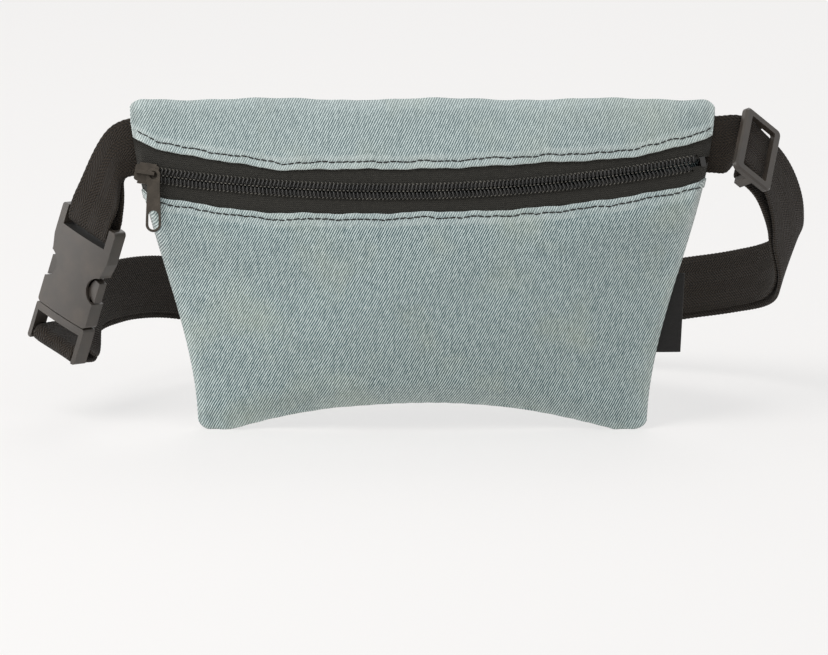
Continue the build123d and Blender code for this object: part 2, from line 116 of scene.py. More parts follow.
# A grid of points (rows, columns, 3), or a stack of grids, becomes smooth quads. Its ends may be joined
# either way, and capped closes tubes with six sides.
def gridMesh(name, points, uv=None, closedRows=False, closedColumns=False, flip=False, capped=False):
    index = np.arange(points[..., 0].size).reshape(points.shape[:-1])
    if closedRows:
        index = np.concatenate([index, index[..., :1, :]], -2)
    if closedColumns:
        index = np.concatenate([index, index[..., :1]], -1)
    corners = [index[..., :-1, :-1], index[..., :-1, 1:], index[..., 1:, 1:], index[..., 1:, :-1]]
    if flip:
        corners.reverse()
    quads = np.stack(corners, -1).reshape(-1, 4)
    if capped:
        order = np.array([[0, 1, 2, 3], [0, 3, 4, 5]])
        caps = np.concatenate([index[:, 0][:, order[:, ::-1]], index[:, -1][:, order]], 1)
        quads = np.concatenate([quads, caps.reshape(-1, 4)])
    mesh = bpy.data.meshes.new(name)
    mesh.vertices.add(points[..., 0].size)
    mesh.vertices.foreach_set("co", np.asarray(points, np.float32).ravel())
    mesh.loops.add(quads.size)
    mesh.loops.foreach_set("vertex_index", quads.ravel().astype(np.int32))
    mesh.polygons.add(len(quads))
    mesh.polygons.foreach_set("loop_start", np.arange(0, quads.size, 4, dtype=np.int32))
    mesh.update(calc_edges=True)
    mesh.polygons.foreach_set("use_smooth", np.ones(len(quads), bool))
    if uv is not None:
        layer = mesh.uv_layers.new(name="UVMap")
        layer.data.foreach_set("uv", np.asarray(uv, np.float32).reshape(-1, 2)[quads.ravel()].ravel())
    mesh.validate()
    piece = bpy.data.objects.new(name, mesh)
    scene.collection.objects.link(piece)
    return piece


# How rubbed each point is, for the material; on the top panel it also holds painted light.
def addWearAndPaintedLight(piece, values):
    layer = piece.data.attributes.new("worn", "FLOAT", "POINT")
    layer.data.foreach_set("value", np.asarray(values, np.float32).ravel())


def dress(piece, material, body, replaced=()):
    piece.data.materials.append(material)
    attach(piece, body)
    if replaced:
        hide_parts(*replaced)
    return piece


# Gives cloth its thickness: inwards at offset -1, both ways at 0.
def thicken(piece, thickness, offset=-1.0):
    solid = piece.modifiers.new("clothThickness", "SOLIDIFY")
    solid.thickness = thickness
    solid.offset = offset
    solid.use_even_offset = False
    return piece


# ---- curves that all pieces share

# From 0 to 1 with level ends: three squares less two cubes.
def smooth(t):
    t = np.clip(t, 0, 1)
    return t * t * (3 - 2 * t)


def unit(v):
    return v / np.linalg.norm(v, axis=-1, keepdims=True)


# Soft waves: a sum of sines of the given lengths, in seeded random directions.
def waves(x, z, lengths, heights, seed):
    random = np.random.default_rng(seed)
    total = np.zeros(np.broadcast(x, z).shape)
    for length, height in zip(lengths, heights):
        for turn in random.uniform(0, 2 * np.pi, 4):
            phase = random.uniform(0, 2 * np.pi)
            run = (x * np.cos(turn) + z * np.sin(turn)) * 2 * np.pi / length
            total = total + height / 2 * np.sin(run + phase)
    return total


# Length along a line of points, from 0 at its first.
def lengthAlong(line):
    return np.concatenate([[0], np.cumsum(np.linalg.norm(np.diff(line, axis=0), axis=-1))])


# ---- the pouch and its zipper, in metres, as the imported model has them
pouch = {
    "x": 0.003, "y": -0.0561, "height": 0.148, "topHalf": 0.128, "bottomHalf": 0.0985,
    "frontFull": 0.024, "backFull": 0.009, "seamHalf": 0.0016,
    "archRise": 0.012, "archHalf": 0.084, "cornerRadius": 0.006, "sideTrim": 0.0005,
    "riseShape": 0.9, "seamRoll": 0.0032, "least": 0.12, "tuckReach": 0.0045,
}
zipper = {
    "halfSpan": 0.125, "height": 0.1094, "sag": 0.0086, "front": 0.0168, "bulge": 0.013,
    "tilt": math.radians(1.2), "lean": math.radians(16.6),
    "tapeHalf": 0.015, "tapeEdge": 0.0016, "tapeFace": 0.0004,
}


# Side seam's distance from the middle: an even S from the bottom width to the top width.
def halfWidth(z):
    u = np.clip(z / pouch["height"], 0, 1)
    return pouch["bottomHalf"] + (pouch["topHalf"] - pouch["bottomHalf"]) * u * u * (3 - 2 * u)


# Swell of a panel at its middle: a flattened sine from bottom to top.
def fullness(z, most):
    rise = np.maximum(np.sin(np.pi * np.clip(z / pouch["height"], 0, 1)), 0) ** pouch["riseShape"]
    return pouch["seamHalf"] + 0.0006 + (most - pouch["seamHalf"]) * rise


# Depth of a panel at share s of the half width: a circle's arc, with its side edge rolled in.
def depth(s, z, most):
    side = halfWidth(z)
    sagitta = np.maximum(fullness(z, most) - pouch["seamHalf"], 0.0004)
    radius = (side ** 2 + sagitta ** 2) / (2 * sagitta)
    arc = np.sqrt(np.maximum(radius ** 2 - (s * side) ** 2, 0)) - (radius - sagitta)
    fromSide = side * (1 - np.abs(s))
    fromTop = pouch["height"] - z
    roll = np.sqrt(smooth(np.minimum(fromSide, fromTop + 0.0004) / pouch["seamRoll"]))
    share = pouch["least"]
    return np.maximum(arc, 0) + pouch["seamHalf"] * (share + (1 - share) * roll)


# Bottom seam's height: a shallow circular arch between two flat corners with rounded sides.
def bottomEdge(x):
    rise, half = pouch["archRise"], pouch["archHalf"]
    radius = (half ** 2 + rise ** 2) / (2 * rise)
    arch = np.sqrt(np.maximum(radius ** 2 - x ** 2, 0)) - (radius - rise)
    corner = pouch["cornerRadius"]
    over = np.clip(np.abs(x) - (pouch["bottomHalf"] - corner), 0, corner)
    return np.maximum(arch, 0) + corner - np.sqrt(corner ** 2 - over ** 2)


# Drop of the top edge at its corners: a quarter circle.
def cornerDrop(fromSide):
    corner = pouch["cornerRadius"]
    return corner - np.sqrt(np.maximum(corner ** 2 - np.clip(corner - fromSide, 0, corner) ** 2, 0))


# The chain is an arc that sags and bulges at once. Its tapes lie on a cone about the arc's axis.
sagitta = math.hypot(zipper["sag"], zipper["bulge"])
dip = math.atan2(zipper["sag"], zipper["bulge"])
chainRadius = (zipper["halfSpan"] ** 2 + sagitta ** 2) / (2 * sagitta)
slant = dip + zipper["lean"]
cosine, sine = math.cos(zipper["tilt"]), math.sin(zipper["tilt"])
chainAlong = np.array([cosine, 0, sine])
chainSpin = np.array([-sine * math.cos(dip), -math.sin(dip), cosine * math.cos(dip)])
chainOut = np.cross(chainAlong, chainSpin)
chainMiddle = np.array([pouch["x"], pouch["y"] - zipper["front"], zipper["height"]])
chainCentre = chainMiddle - chainOut * chainRadius
endAngle = math.asin(zipper["halfSpan"] / chainRadius)


# Point at an angle along the chain, t across the tapes and h out of them.
def chainPoint(angle, t, h):
    angle, t, h = np.broadcast_arrays(angle, t, h)
    radial = chainOut * np.cos(angle)[..., None] + chainAlong * np.sin(angle)[..., None]
    normal = radial * math.cos(slant) + chainSpin * math.sin(slant)
    up = chainSpin * math.cos(slant) - radial * math.sin(slant)
    return chainCentre + radial * chainRadius + up * t[..., None] + normal * h[..., None]


# Angle along the chain at which a line at t, h meets a side seam (-1 left, 1 right), by halving.
def sideAngle(side, t, h):
    low, high = 0.6 * endAngle, 1.15 * endAngle
    for _ in range(40):
        middle = (low + high) / 2
        point = chainPoint(np.float64(side * middle), np.float64(t), np.float64(h))
        inside = abs(point[0] - pouch["x"]) < halfWidth(point[2]) - pouch["sideTrim"]
        low, high = (middle, high) if inside else (low, middle)
    return side * low


cloth = {
    "swellLengths": (0.085, 0.048, 0.027), "swellHeights": (0.0008, 0.00045, 0.00018), "swellSeed": 11,
    "sidePuckers": (0.0093, 90, 0.00032), "bottomPuckers": (0.0085, 70, 0.00034), "puckerReach": 0.006,
    "calmReach": 0.008,
}


# Puckers along a seam: a sine whose pitch drifts, fading away from the seam.
def puckers(along, fromSeam, pitch, drift, height):
    run = np.sin(along * 2 * np.pi / pitch + 2 * np.sin(along * drift))
    return run * np.exp(-fromSeam / cloth["puckerReach"]) * height


# Unevenness of the cloth: long soft swells, and puckers along the seams.
def unevenness(x, z):
    fromSide = np.abs(halfWidth(z) - np.abs(x - pouch["x"]))
    fromBottom = np.abs(z - bottomEdge(x - pouch["x"]))
    swell = waves(x, z, cloth["swellLengths"], cloth["swellHeights"], cloth["swellSeed"])
    calm = smooth(np.minimum(fromSide, pouch["height"] - z + 0.002) / cloth["calmReach"])
    sidePuckers = puckers(z, fromSide, *cloth["sidePuckers"])
    return swell * calm + sidePuckers + puckers(x, fromBottom, *cloth["bottomPuckers"])


# Draws everything at the pouch's sides back into the side seams.
def tuckSides(points, layer):
    fromSide = halfWidth(points[..., 2]) - np.abs(points[..., 0] - pouch["x"])
    pull = 1 - smooth(fromSide / pouch["tuckReach"])
    target = pouch["y"] - 0.0006 - layer
    points[..., 1] += (target - points[..., 1]) * pull ** 1.5
    return points


# ---- materials

# Stonewashed denim: a 3/1 twill of faded indigo warp over pale weft. It reads as fine pale
# diagonal ribs on grey green, matt, with paler folds where the colour has rubbed off.
denim = {
    "warp": "#35545a", "weft": "#ccdad8", "worn": "#d3dcd8", "deep": "#37555c", "warm": "#c2c6a6",
    "ribSpacing": 0.97 * mm, "ribLean": math.radians(28), "bump": 0.00012, "bumpStrength": 0.8,
    "floatSize": (0.0008, 0.0026), "slubSize": (0.0011, 0.009), "pickSize": (0.004, 0.0007),
    "patchScale": 32, "slubMost": 0.45, "patchMost": 0.2, "rub": 0.75,
    "finish": {
        "Roughness": 0.92, "Specular IOR Level": 0.25, "Sheen Weight": 0.25, "Sheen Roughness": 0.6,
    },
}


def denimMaterial():
    material, tree, shader = newMaterial("stonewashedDenim", denim["finish"])
    place = addNode(tree, "UVMap").outputs[0]
    turned = addNode(tree, "Mapping", {0: place, "Rotation": (0, 0, denim["ribLean"])}).outputs[0]
    # A wave texture's band is a twentieth of a full turn.
    wave = {0: turned, "Scale": 2 * math.pi / denim["ribSpacing"] / 20, "Distortion": 1.3, "Detail": 2,
            "Detail Scale": 0.6}
    ribs = addNode(tree, "TexWave", wave, bands_direction="X").outputs[1]
    floats = maths(tree, "MULTIPLY_ADD", grains(tree, turned, denim["floatSize"], 2), 1.1, -0.55)
    ribShape = remap(tree, maths(tree, "ADD", ribs, floats), 0.2, 0.8)
    slubs = remap(tree, grains(tree, place, denim["slubSize"], 2), 0.45, 0.8, 0.0, denim["slubMost"])
    patches = remap(tree, noise(tree, place, denim["patchScale"], 3), 0.5, 0.75, 0.0, denim["patchMost"])
    worn = addNode(tree, "Attribute", attribute_name="worn").outputs[2]
    colour = mixColours(tree, ribShape, linear(denim["warp"]), linear(denim["weft"]))
    # On the top panel the worn attribute also carries painted light that pales it all over.
    rubbed = maths(tree, "MULTIPLY", worn, denim["rub"])
    for share, over in ((slubs, "deep"), (patches, "warm"), (rubbed, "worn")):
        colour = mixColours(tree, share, colour, linear(denim[over]))
    height = maths(tree, "ADD", ribShape, grains(tree, place, denim["pickSize"], 1))
    colourAndBump(tree, shader, colour, height, denim["bumpStrength"], denim["bump"])
    return material


weave = {
    "rowShare": 0.55, "fluffScale": (420, 900, 1), "fluffShare": 2.6, "toneRange": (-0.6, 3.4),
    "finish": {"Roughness": 0.85, "Specular IOR Level": 0.3, "Sheen Roughness": 0.45},
}


# Woven polyester or cotton webbing and tape: black yarns in a herringbone. It reads as matt,
# with small raised picks in rows and browner where the light catches the yarns' edges.
# Its height is a sine along the strap that leans to and fro, a cosine across it, and fluff.
def wovenMaterial(name, dark, light, row, pick, sheen=0.12, relief=0.00022):
    material, tree, shader = newMaterial(name, {**weave["finish"], "Sheen Weight": sheen})
    place = addNode(tree, "UVMap").outputs[0]
    parts = addNode(tree, "SeparateXYZ", {0: place}).outputs
    across = maths(tree, "MULTIPLY", parts[1], 1 / (4 * row))
    lean = maths(tree, "MULTIPLY", maths(tree, "PINGPONG", across, 1.0), 4 * row)
    turns = maths(tree, "MULTIPLY", maths(tree, "ADD", parts[0], lean), 2 * math.pi / pick)
    rows = maths(tree, "COSINE", maths(tree, "MULTIPLY", parts[1], 2 * math.pi / row))
    both = maths(tree, "MULTIPLY_ADD", rows, weave["rowShare"], maths(tree, "SINE", turns))
    stretch = addNode(tree, "Mapping", {0: place, "Scale": weave["fluffScale"]}).outputs[0]
    height = maths(tree, "MULTIPLY_ADD", noise(tree, stretch, 1, 3), weave["fluffShare"], both)
    colour = mixColours(tree, remap(tree, height, *weave["toneRange"]), linear(dark), linear(light))
    colourAndBump(tree, shader, colour, height, 0.9, relief)
    return material


# Moulded acetal: dyed-through black plastic from a fine-sparked mould. It has a broad soft
# highlight, with a faint grain and slightly duller, paler rubbed patches.
plastic = {
    "wearScale": 120, "wearDetail": 4, "worn": (0.42, 0.72), "grainScale": 2400, "bump": (0.25, 0.00004),
    "finish": {"Specular IOR Level": 0.5},
}
# Die-cast zinc in a black nickel finish: a dark warm metal, satin on its faces.
metal = {
    "wearScale": 260, "wearDetail": 2, "worn": (0.4, 0.7), "grainScale": None, "bump": (0.15, 0.00005),
    "finish": {"Metallic": 0.85},
}


# A hard surface whose colour and gloss change over its worn patches, from the first value to the second.
def hardMaterial(name, kind, body, rubbed, smoothest, roughest):
    material, tree, shader = newMaterial(name, kind["finish"])
    place = addNode(tree, "TexCoord").outputs["Object"]
    wear = noise(tree, place, kind["wearScale"], kind["wearDetail"])
    tree.links.new(remap(tree, wear, 0.0, 1.0, smoothest, roughest), shader.inputs["Roughness"])
    colour = mixColours(tree, remap(tree, wear, *kind["worn"]), linear(body), linear(rubbed))
    height = noise(tree, place, kind["grainScale"], 2) if kind["grainScale"] else wear
    colourAndBump(tree, shader, colour, height, *kind["bump"])
    return material


denimCloth = denimMaterial()
tapeCloth = wovenMaterial("zipperTape", "#151412", "#3c3a34", 0.9 * mm, 0.85 * mm, relief=0.00012)
strapCloth = wovenMaterial("beltWebbing", "#0c0a08", "#32291f", 1.25 * mm, 1.5 * mm, sheen=0.05)
labelCloth = wovenMaterial("satinLabel", "#141313", "#272625", 0.4 * mm, 0.5 * mm, relief=0.00005)
threadPlastic = hardMaterial("sewingThread", plastic, "#131312", "#1f1e1d", 0.65, 0.8)
threadCord = hardMaterial("polyesterCord", plastic, "#4a4842", "#6a675f", 0.37, 0.52)
coilPlastic = hardMaterial("nylonCoil", plastic, "#1b1a18", "#2d2b28", 0.25, 0.4)
# Buckle and tri-glide plastic: its body and rubbed colours are lifted above the plastic's own near black,
# partly as painted highlight for the broad reflection on the buckle's face.
bucklePlasticPaintedHighlight = hardMaterial("mouldedAcetal", plastic, "#3a3530", "#453e37", 0.28, 0.43)
# Slot walls: matt, and painted far darker than the buckle plastic as painted shade inside the slot.
mattShadedAcetal = hardMaterial("mattAcetalPaintedShade", plastic, "#14120f", "#181613", 0.8, 0.95)
blackNickel = hardMaterial("blackNickel", metal, "#423d37", "#4c463f", 0.28, 0.42)
print("materials made")


# ---- denim panels
columns = np.linspace(-1, 1, 241)
# Widths and heights across the zipper are in millimetres from the chain.
hem = {
    "outer": 16.85, "inner": 9.85, "height": 2.5, "stitchLower": 12.5, "stitchUpper": 13.0,
    "rows": 16, "thick": 0.8 * mm, "press": 0.35, "pressWidth": 0.75, "crown": 0.25,
    "gatherHeight": 0.00012, "gatherRows": 4, "tuck": 0.0004,
}


# How far a hem strays outward at share a of the way across (-1 left, 1 right): bumps of the
# hand-fed seam, and the upper hem's steep rise into the left corner.
def hemShift(side, a):
    if side > 0:
        ends = 5.0 * np.exp(-(1 + a) / 0.085) + 0.9 * np.exp(-(1 - a) / 0.03)
        drift = -1.9 * np.exp(-((a + 0.48) / 0.14) ** 2) - 2.6 * np.exp(-((a - 0.72) / 0.22) ** 2)
    else:
        ends = -1.6 * np.exp(-(1 + a) / 0.07) - 1.2 * np.exp(-(1 - a) / 0.2)
        drift = 1.2 * np.exp(-((a + 0.58) / 0.16) ** 2) - 0.9 * np.exp(-((a - 0.02) / 0.16) ** 2)
    small = 0.22 * np.sin(a * 31 + side) + 0.12 * np.sin(a * 73 + 2 * side)
    return side * (ends + drift + small) * mm


# Points of the zipper between the side seams, for shares a of the way across, at t and h.
def acrossChain(a, t, h, shift=0.0):
    shift = np.broadcast_to(shift, np.shape(a))
    low, high = sideAngle(-1, t + shift[0], h), sideAngle(1, t + shift[-1], h)
    turn = low + (high - low) * (a + 1) / 2
    return chainPoint(turn, t + shift, np.float64(h)), turn


# Rows of cloth from one edge (t, h in millimetres) to the next along the zipper.
def hemRows(path):
    side = 1 if path[0][0] > 0 else -1
    return np.array([acrossChain(columns, t * mm, h * mm, hemShift(side, columns))[0] for t, h in path])


# Hem's section from the panel to the fold and under, in millimetres: a soft double layer, drawn
# down along its stitching, that rolls over at the fold.
def hemSection(side, stitch):
    across = np.linspace(hem["outer"], hem["inner"] + 0.45, hem["rows"])
    press = hem["press"] * np.exp(-((across - stitch) / hem["pressWidth"]) ** 2)
    crown = hem["crown"] * np.sin(np.pi * (across - hem["inner"]) / (hem["outer"] - hem["inner"]))
    flat = [(side * a, hem["height"] + c - p) for a, c, p in zip(across, crown, press)]
    edge = hem["inner"]
    rolled = [(edge + 0.12, 2.34), (edge, 2.0), (edge + 0.02, 1.5), (edge + 0.2, 1.05), (edge + 0.6, 0.78)]
    under = [(edge + 1.8, 0.72), (edge + 3.6, 0.72)]
    return flat + [(side * a, h) for a, h in rolled + under]


# Flat pattern's coordinates in metres: across the pouch, and the length up each column.
def clothUv(points, across=1, upward=1):
    up = np.linalg.norm(np.diff(points, axis=0) * (1, 0.35, 1), axis=-1)
    v = points[0, :, 2] + upward * np.vstack([np.zeros(points.shape[1]), np.cumsum(up, 0)])
    return np.stack([across * points[..., 0], v], -1)


# Share of the panel's height, packed closer together at both ends.
def risenRows(count):
    r = np.linspace(0, 1, count)
    return (r * 0.6 + 0.4 * smooth(r))[:, None]


# Fine gathers from a panel's join with its hem: a sine along the seam.
def gather(points, joinRow, pitch, phase):
    ripple = np.sin(points[..., 0] * 2 * np.pi / pitch + phase) * hem["gatherHeight"]
    rows = np.arange(len(points))[:, None]
    points[..., 1] -= ripple * smooth((rows - joinRow + hem["gatherRows"]) / hem["gatherRows"])
    return tuckSides(points, hem["tuck"])


wear = {
    "seamReach": 0.0030, "patchLengths": (0.03, 0.012), "patchHeights": (0.7, 0.5), "patchSeed": 4,
    "strip": 0.34, "stripRows": 3, "fold": 0.35, "foldRows": 1.6, "seam": 0.5,
}


# Rubbing from 0 to 1: at the seams, in patches on the hem, and at its fold.
def wornness(points, joinRow, foldRow, bottomToo=True):
    x, z = points[..., 0] - pouch["x"], points[..., 2]
    seams = np.exp(-np.abs(halfWidth(z) - np.abs(x)) / wear["seamReach"])
    if bottomToo:
        seams = np.maximum(seams, np.exp(-np.abs(z - bottomEdge(x)) / wear["seamReach"]))
    rows = np.arange(len(points))[:, None]
    patch = 0.5 + 0.5 * waves(x, z, wear["patchLengths"], wear["patchHeights"], wear["patchSeed"])
    strip = wear["strip"] * smooth((rows - joinRow) / wear["stripRows"]) * (0.6 + 0.4 * patch)
    fold = wear["fold"] * np.exp(-((rows - foldRow) / wear["foldRows"]) ** 2)
    return np.clip(wear["seam"] * seams * (0.5 + 0.7 * patch) + strip + fold, 0, 1)


# The hemmed panels lie ahead of the seams. They swell over the roll and join the hem over the blend.
front = {
    "side": -1, "rows": 130, "ahead": pouch["seamHalf"] * 0.3, "roll": 0.012, "least": 0.06,
    "blend": 0.030, "calmReach": 0.016, "calmLeast": 0.15, "uneven": 1,
    "stitch": hem["stitchLower"], "gather": (0.0041, 0),
}
top = {
    "side": 1, "rows": 34, "ahead": 0.0004, "roll": 0.005, "least": 0.10,
    "blend": 0.014, "calmReach": 0.012, "calmLeast": 0.2, "uneven": 0.7,
    "stitch": hem["stitchUpper"], "gather": (0.0038, 1),
    # The key wear here is painted light, not rubbing: it pales the whole top panel, which tilts up towards
    # the lamps.
    "below": 0.0006, "sideCalm": 0.008, "edgeWear": 0.35, "edgeReach": 0.0035, "wear": 0.12,
}


# Share of the half width at which each column meets the hem, and the points there.
def hemJoin(side):
    join = hemRows([(side * hem["outer"], hem["height"])])[0]
    return (join[:, 0] - pouch["x"]) / halfWidth(join[:, 2]), join


# Rows from a panel's far edge to the zipper, swelling by the pouch's depth, then its hem.
def hemmedPanel(shape, s, join, edge, sideCalm):
    side = shape["side"]
    z = edge + (join[:, 2] - edge) * risenRows(shape["rows"])
    fromJoin = side * (z - join[:, 2])
    swell = np.sqrt(smooth(side * (edge - z) / shape["roll"]))
    share = shape["least"] + (1 - shape["least"]) * swell
    y = pouch["y"] - shape["ahead"] - depth(s, z, pouch["frontFull"]) * share
    y = y + (join[:, 1] - y[-1]) * smooth(1 - fromJoin / shape["blend"])
    calm = shape["calmLeast"] + (1 - shape["calmLeast"]) * smooth((fromJoin - mm) / shape["calmReach"])
    x = pouch["x"] + s * halfWidth(z)
    y = y - unevenness(x, z) * calm * shape["uneven"] * sideCalm
    panel = np.stack([x, y, z], -1)
    points = np.concatenate([panel[:-1], hemRows(hemSection(side, shape["stitch"]))])
    return gather(points, shape["rows"], *shape["gather"])


# From the arched bottom seam up to the zipper.
def makeFront():
    s, join = hemJoin(front["side"])
    points = hemmedPanel(front, s, join, bottomEdge(s * pouch["bottomHalf"]), 1)
    piece = gridMesh("denimFront", points, clothUv(points))
    addWearAndPaintedLight(piece, wornness(points, front["rows"], front["rows"] + hem["rows"]))
    return piece


# From the rounded and slightly wavy top edge down to the zipper.
def makeTop():
    s, join = hemJoin(top["side"])
    fromSide = pouch["topHalf"] - np.abs(s) * pouch["topHalf"]
    wavy = 0.0005 * np.sin(s * 11 + 1) + 0.0002 * np.sin(s * 41)
    high = pouch["height"] - cornerDrop(fromSide) - top["below"] + wavy
    points = hemmedPanel(top, s, join, high, smooth(fromSide / top["sideCalm"]))
    piece = gridMesh("denimTop", points, clothUv(points, upward=-1), flip=True)
    worn = wornness(points, top["rows"], top["rows"] + hem["rows"], bottomToo=False)
    edgeWorn = top["edgeWear"] * np.exp(-np.abs(high - points[..., 2]) / top["edgeReach"])
    # Adding top["wear"] pales the whole top panel by a further 0.12 as painted light for its upward tilt
    # towards the lamps.
    addWearAndPaintedLight(piece, np.clip(worn + edgeWorn + top["wear"], 0, 1))
    return piece


rear = {
    "rows": 130, "edgeRoll": 0.010, "least": 0.05, "below": 0.0010, "inset": 0.0002, "behind": 0.0006,
    "uneven": 0.8, "sideCalm": 0.008, "noRow": 999,
}


# Rows from the bottom seam to the top edge, swelling backwards by the pouch's depth.
def makeBack():
    s = columns
    low = bottomEdge(s * pouch["bottomHalf"])
    fromSide = pouch["topHalf"] * (1 - np.abs(s))
    high = pouch["height"] - cornerDrop(fromSide) - rear["below"] + 0.0005 * np.sin(s * 11 + 1)
    z = low + (high - low) * risenRows(rear["rows"])
    x = pouch["x"] + s * (halfWidth(z) - rear["inset"])
    lift = np.sqrt(smooth(np.minimum(z - low, high - z) / rear["edgeRoll"]))
    share = rear["least"] + (1 - rear["least"]) * lift
    y = pouch["y"] + rear["behind"] + depth(s, z, pouch["backFull"]) * share
    y = y + unevenness(x, z) * rear["uneven"] * smooth(fromSide / rear["sideCalm"])
    points = np.stack([x, y, z], -1)
    piece = gridMesh("denimBack", points, clothUv(points, across=-1), flip=True)
    addWearAndPaintedLight(piece, wornness(points, rear["noRow"], rear["noRow"]))
    return piece


for make, node in ((makeFront, "front_panel"), (makeTop, "top_panel"), (makeBack, "back_panel")):
    panel = dress(thicken(make(), hem["thick"]), denimCloth, "bag", [node])
print("panels made")


# ---- zipper: tapes, coils and their stitching
tape = {
    "clearance": 0.0001, "thick": 0.00055, "nose": 0.0002, "rows": 22, "columns": 301, "tuck": 0.0002,
}


# A flat section with a round edge at the coils, swept along the chain.
def makeTape(side, name, node):
    start, thick, face = zipper["tapeEdge"] + tape["clearance"], tape["thick"], zipper["tapeFace"]
    t = np.linspace(start, zipper["tapeHalf"], tape["rows"])
    arc = np.linspace(0, np.pi, 5)
    nose = [(start - tape["nose"] * math.sin(a), face + thick * math.cos(a) / 2 + thick / 2) for a in arc]
    upper = [(value, face + thick) for value in t[:0:-1]]
    under = [(value, face) for value in t[1:]]
    shares = np.linspace(-1, 1, tape["columns"])
    points, uv = [], []
    for a, h in upper + nose + under:
        row, turn = acrossChain(shares, side * a, h)
        points.append(row)
        uv.append(np.stack([turn * chainRadius, np.full_like(turn, side * a)], -1))
    points = tuckSides(np.array(points), tape["tuck"])
    piece = gridMesh(name, points, np.array(uv), closedRows=True, flip=side > 0)
    dress(piece, tapeCloth, "bag", [node])


makeTape(1, "upperTape", "upper_zipper_tape")
makeTape(-1, "lowerTape", "lower_zipper_tape")

# The two gaps, in radians along the chain, keep the coil off the side seams.
coil = {
    "pitch": 1.72 * mm, "steps": 14, "wire": 0.41 * mm, "half": 1.40 * mm, "rise": 0.75 * mm,
    "centre": 1.70 * mm, "height": 1.45 * mm, "lean": 0.55 * mm, "sides": 6,
    "startGap": 0.013, "endGap": 0.012, "squareness": 0.7, "stagger": 0.25,
}


# A sine or cosine with flatter tops: its size to a power below one.
def squared(wave):
    return np.abs(wave) ** coil["squareness"] * np.sign(wave)


# Flattened helix of thick thread along the chain, swept with a round section.
def makeCoil(side, name, node):
    low = sideAngle(-1, side * coil["centre"], coil["height"]) + coil["startGap"]
    high = sideAngle(1, side * coil["centre"], coil["height"]) - coil["endGap"]
    turns = int((high - low) * chainRadius / coil["pitch"])
    phase = np.arange(turns * coil["steps"] + 1) * 2 * np.pi / coil["steps"]
    flat, heave = squared(np.cos(phase)), np.sin(phase)
    along = low + phase / (2 * np.pi) * coil["pitch"] / chainRadius
    along = along + side * coil["stagger"] * coil["pitch"] / chainRadius
    along = along + flat * coil["lean"] / chainRadius
    t = side * (coil["centre"] + flat * coil["half"])
    line = chainPoint(along, t, coil["height"] + squared(heave) * coil["rise"])
    tangent = unit(np.gradient(line, axis=0))
    first = unit(np.cross(tangent, chainSpin))
    second = np.cross(tangent, first)
    turn = np.arange(coil["sides"]) * 2 * np.pi / coil["sides"]
    ring = first[:, None] * np.cos(turn)[:, None] + second[:, None] * np.sin(turn)[:, None]
    uv = np.stack(np.broadcast_arrays(along[:, None] * chainRadius, turn * mm), -1)
    piece = gridMesh(name, line[:, None] + ring * coil["wire"], uv, closedColumns=True)
    dress(piece, coilPlastic, "bag", [node])


makeCoil(1, "upperCoil", "upper_coil")
makeCoil(-1, "lowerCoil", "lower_coil")

# A stitch is a tube with thinner tips, and wanders at random.
stitch = {
    "stations": 7, "sides": 6, "inset": 0.0012, "tip": 0.4, "tipPower": 6, "sink": 0.9,
    "wanderLengths": (0.035, 0.011), "wanderSeed": 8, "shake": 0.4, "twist": 0.6,
}
topstitch = {
    "length": 2.9 * mm, "gap": 0.1 * mm, "width": 0.60 * mm, "thick": 0.5 * mm, "height": 2.6 * mm,
    "material": threadPlastic, "wander": 0.3 * mm, "ends": 0.0, "onHem": True,
}
coilStitch = {
    "length": 0.95 * mm, "gap": 0.77 * mm, "width": 0.55 * mm, "thick": 0.4 * mm,
    "material": threadCord, "wander": 0.03 * mm, "ends": 0.013, "onHem": False,
}


# Row of stitches: each is a short thread that arches between two needle holes.
def makeStitches(name, line, height, style, lean=0.0):
    length, width, thick, wander = (style[key] for key in ("length", "width", "thick", "wander"))
    low, high = sideAngle(-1, line, height) + style["ends"], sideAngle(1, line, height) - style["ends"]
    low, high = low + stitch["inset"], high - stitch["inset"]
    count = int((high - low) * chainRadius / (length + style["gap"]))
    start = low + np.arange(count) * (high - low) / count
    random = np.random.default_rng(len(name) + count)
    stations, sides = stitch["stations"], stitch["sides"]
    bow = np.linspace(-1, 1, stations)
    turn = np.arange(sides) * 2 * np.pi / sides
    reach = (1 - np.abs(bow) ** stitch["tipPower"]) ** 0.5 * (1 - stitch["tip"]) + stitch["tip"]
    along = start[:, None] + (bow + 1) / 2 * length / chainRadius
    middle = along[:, stations // 2]
    drift = (stitch["wanderLengths"], (wander, wander * 0.6), stitch["wanderSeed"])
    offset = waves(middle * chainRadius, middle * 0, *drift)
    shake = random.uniform(-stitch["shake"], stitch["shake"], count) * wander
    lean = lean + random.uniform(-stitch["twist"], stitch["twist"], count)[:, None] * wander
    t = line + offset[:, None] + shake[:, None] + lean * bow
    if style["onHem"]:
        t = t + hemShift(math.copysign(1, line), 2 * (along - low) / (high - low) - 1)
    h = height + thick * (reach - stitch["sink"])
    centre = chainPoint(along, t, np.broadcast_to(h, t.shape))
    tall = chainOut * math.cos(slant) + chainSpin * math.sin(slant)
    wide = chainSpin * math.cos(slant) - chainOut * math.sin(slant)
    section = wide * (np.cos(turn) * width / 2)[:, None] + tall * (np.sin(turn) * thick / 2)[:, None]
    points = centre[:, :, None] + section * reach[:, None, None]
    uv = np.stack([points[..., 0], points[..., 2]], -1)
    piece = gridMesh(name, points, uv, closedColumns=True, capped=True)
    dress(piece, style["material"], "bag")


makeStitches("lowerTopstitch", -hem["stitchLower"] * mm, topstitch["height"], topstitch)
makeStitches("upperTopstitch", hem["stitchUpper"] * mm, topstitch["height"], topstitch)
